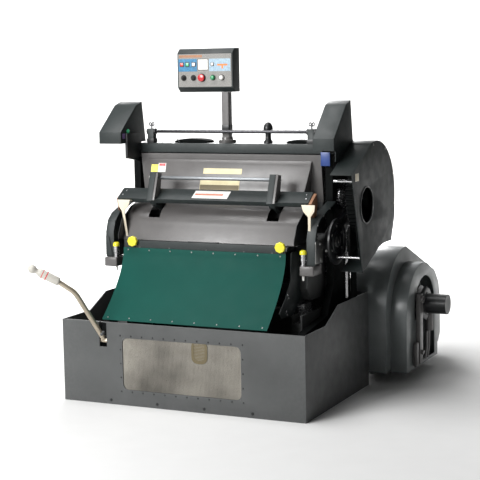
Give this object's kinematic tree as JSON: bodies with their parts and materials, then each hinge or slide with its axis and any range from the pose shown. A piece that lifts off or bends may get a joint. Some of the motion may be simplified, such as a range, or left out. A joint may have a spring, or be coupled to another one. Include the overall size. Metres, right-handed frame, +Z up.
{
  "type": "platen letterpress",
  "caption": "Heavy platen press on a boxed base: swinging platen, bed with chase, crank gear, draw bars, flywheel drive, guards and a control box on a post.",
  "frame": {"origin": "on the floor under the middle of the base", "axes": "+X to the operator's right, +Y away from the operator, +Z up"},
  "size_m": [1.791, 2.1552, 1.857],
  "materials": {
    "dark_paint": "semi-gloss",
    "grey_paint": "semi-gloss",
    "green_enamel": "satin",
    "black_iron": "oiled",
    "bright_steel": "machined",
    "cast_iron": "painted",
    "yellow_plastic": "gloss",
    "red_plastic": "gloss",
    "green_plastic": "gloss",
    "white_plastic": "gloss",
    "black_rubber": "matt",
    "plywood": "sanded"
  },
  "bodies": {
    "root": {"base_skirt": "dark_paint", "base_plate": "cast_iron", "window_mesh": "bright_steel", "rear_frame": "cast_iron", "side_frame_right": "dark_paint", "side_frame_left": "dark_paint", "bed": "cast_iron", "chase": "bright_steel", "cutting_forme": "plywood", "top_beam": "dark_paint", "sensor_cover_right": "dark_paint", "sensor_cover_left": "dark_paint", "round_bar": "bright_steel", "drive_belts": "black_rubber", "drive_chain": "cast_iron", "motor": "black_iron", "gear_guard": "dark_paint", "belt_guard": "dark_paint", "clutch_guard": "dark_paint", "control_post": "dark_paint"},
    "carriage": {"rocker_carriage": "bright_steel"},
    "platen": {"platen_casting": "cast_iron", "counter_plate": "bright_steel", "back_panel": "grey_paint", "back_shroud": "grey_paint", "feed_strip": "dark_paint", "apron": "green_enamel", "bearing_block_right": "grey_paint", "oil_cup_right": "bright_steel", "arm_cover_right": "dark_paint", "bearing_block_left": "grey_paint", "oil_cup_left": "bright_steel", "arm_cover_left": "dark_paint"},
    "plank": {"safety_plank": "dark_paint", "handrail": "bright_steel"},
    "crank": {"crank_shaft": "bright_steel", "bull_gear": "cast_iron"},
    "counter": {"counter_shaft": "bright_steel"},
    "drive": {"drive_shaft": "bright_steel"},
    "flywheel": {"flywheel": "cast_iron"},
    "motor_rotor": {"motor_pulley": "cast_iron"},
    "box": {"control_box": "dark_paint"},
    "brake": {"brake_arm": "grey_paint"},
    "lever": {"hand_lever": "bright_steel", "lever_grip": "white_plastic"},
    "chase_handle": {"chase_handle": "black_iron"},
    "draw_bar_right": {"draw_bar_right": "black_iron", "hub_cap_right": "black_iron"},
    "strip_knob_right": {"strip_knob_right": "yellow_plastic"},
    "wing_screw_right": {"wing_screw_right": "bright_steel"},
    "draw_bar_left": {"draw_bar_left": "black_iron", "hub_cap_left": "black_iron"},
    "strip_knob_left": {"strip_knob_left": "yellow_plastic"},
    "wing_screw_left": {"wing_screw_left": "bright_steel"},
    "selector_one": {"selector_one": "black_rubber"},
    "selector_two": {"selector_two": "black_rubber"},
    "stop_button": {"stop_button": "red_plastic"},
    "start_button": {"start_button": "green_plastic"},
    "jog_button": {"jog_button": "white_plastic"}
  },
  "joints": [
    {"name": "crank_turn", "type": "hinge", "parent": "root", "child": "crank", "pos_m": [0, 0.31, 1.06], "axis": [-1, 0, 0], "range_deg": [0, 180]},
    {"name": "carriage_slide", "type": "slide", "parent": "root", "child": "carriage", "axis": [0, -1, 0], "range_m": [0, 0.03]},
    {"name": "platen_tilt", "type": "hinge", "parent": "carriage", "child": "platen", "pos_m": [0, -0.02, 0.5], "axis": [1, 0, 0], "range_deg": [0, 40]},
    {"name": "draw_bar_swing_right", "type": "hinge", "parent": "platen", "child": "draw_bar_right", "pos_m": [0, 0.09, 0.84], "axis": [-1, 0, 0], "range_deg": [0, 49]},
    {"name": "strip_knob_turn_right", "type": "hinge", "parent": "platen", "child": "strip_knob_right", "pos_m": [0.451, -0.155, 0.832], "axis": [0, -1, 0], "range_deg": [-180, 180]},
    {"name": "wing_screw_turn_right", "type": "hinge", "parent": "root", "child": "wing_screw_right", "pos_m": [0.483, 0.195, 1.42], "axis": [0, 0, 1], "range_deg": [-180, 180]},
    {"name": "draw_bar_swing_left", "type": "hinge", "parent": "platen", "child": "draw_bar_left", "pos_m": [0, 0.09, 0.84], "axis": [-1, 0, 0], "range_deg": [0, 49]},
    {"name": "strip_knob_turn_left", "type": "hinge", "parent": "platen", "child": "strip_knob_left", "pos_m": [-0.417, -0.155, 0.832], "axis": [0, -1, 0], "range_deg": [-180, 180]},
    {"name": "wing_screw_turn_left", "type": "hinge", "parent": "root", "child": "wing_screw_left", "pos_m": [-0.483, 0.195, 1.42], "axis": [0, 0, 1], "range_deg": [-180, 180]},
    {"name": "counter_turn", "type": "hinge", "parent": "root", "child": "counter", "pos_m": [0, 0.4797, 0.8903], "axis": [-1, 0, 0], "range_deg": [-720, 0]},
    {"name": "drive_turn", "type": "hinge", "parent": "root", "child": "drive", "pos_m": [0, 0.8, 0.41], "axis": [-1, 0, 0], "range_deg": [-1440, 0]},
    {"name": "flywheel_turn", "type": "hinge", "parent": "root", "child": "flywheel", "pos_m": [0, 0.8, 0.41], "axis": [1, 0, 0], "continuous": true},
    {"name": "motor_turn", "type": "hinge", "parent": "root", "child": "motor_rotor", "pos_m": [0, 1.2, 0.26], "axis": [1, 0, 0], "continuous": true},
    {"name": "plank_push", "type": "hinge", "parent": "platen", "child": "plank", "pos_m": [0, 0.05, 1], "axis": [1, 0, 0], "range_deg": [-8, 0], "stiffness_Nm_per_rad": 400},
    {"name": "box_swivel", "type": "hinge", "parent": "root", "child": "box", "pos_m": [-0.051, 0.27, 1.617], "axis": [0, 0, 1], "range_deg": [-60, 60]},
    {"name": "brake_swing", "type": "hinge", "parent": "root", "child": "brake", "pos_m": [0, 0.7, 0.16], "axis": [-1, 0, 0], "range_deg": [0, 3], "stiffness_Nm_per_rad": 60},
    {"name": "hand_lever_pull", "type": "hinge", "parent": "root", "child": "lever", "pos_m": [-0.452, -0.431, 0.335], "axis": [1, 0, 0], "range_deg": [0, 28]},
    {"name": "chase_handle_turn", "type": "hinge", "parent": "root", "child": "chase_handle", "pos_m": [0.205, 0.25, 1.34], "axis": [0, 0, 1], "range_deg": [-90, 90]},
    {"name": "selector_one_turn", "type": "hinge", "parent": "box", "child": "selector_one", "pos_m": [-0.295, 0.2347, 1.697], "axis": [0, -1, 0], "range_deg": [-45, 45]},
    {"name": "selector_two_turn", "type": "hinge", "parent": "box", "child": "selector_two", "pos_m": [-0.235, 0.2347, 1.697], "axis": [0, -1, 0], "range_deg": [-45, 45]},
    {"name": "stop_button_press", "type": "slide", "parent": "box", "child": "stop_button", "axis": [0, 1, 0], "range_m": [0, 0.004], "stiffness_N_per_m": 400, "springref_m": -0.001},
    {"name": "start_button_press", "type": "slide", "parent": "box", "child": "start_button", "axis": [0, 1, 0], "range_m": [0, 0.004], "stiffness_N_per_m": 400, "springref_m": -0.001},
    {"name": "jog_button_press", "type": "slide", "parent": "box", "child": "jog_button", "axis": [0, 1, 0], "range_m": [0, 0.004], "stiffness_N_per_m": 400, "springref_m": -0.001}
  ],
  "couplings": [
    {"joint": "carriage_slide", "follows": "crank_turn", "m_per_rad": 0.009549},
    {"joint": "platen_tilt", "follows": "crank_turn", "ratio": 0.22222},
    {"joint": "draw_bar_swing_right", "follows": "crank_turn", "ratio": 0.27222},
    {"joint": "draw_bar_swing_left", "follows": "crank_turn", "ratio": 0.27222},
    {"joint": "counter_turn", "follows": "crank_turn", "ratio": -4},
    {"joint": "drive_turn", "follows": "crank_turn", "ratio": -8},
    {"joint": "motor_turn", "follows": "flywheel_turn", "ratio": 4.5}
  ]
}
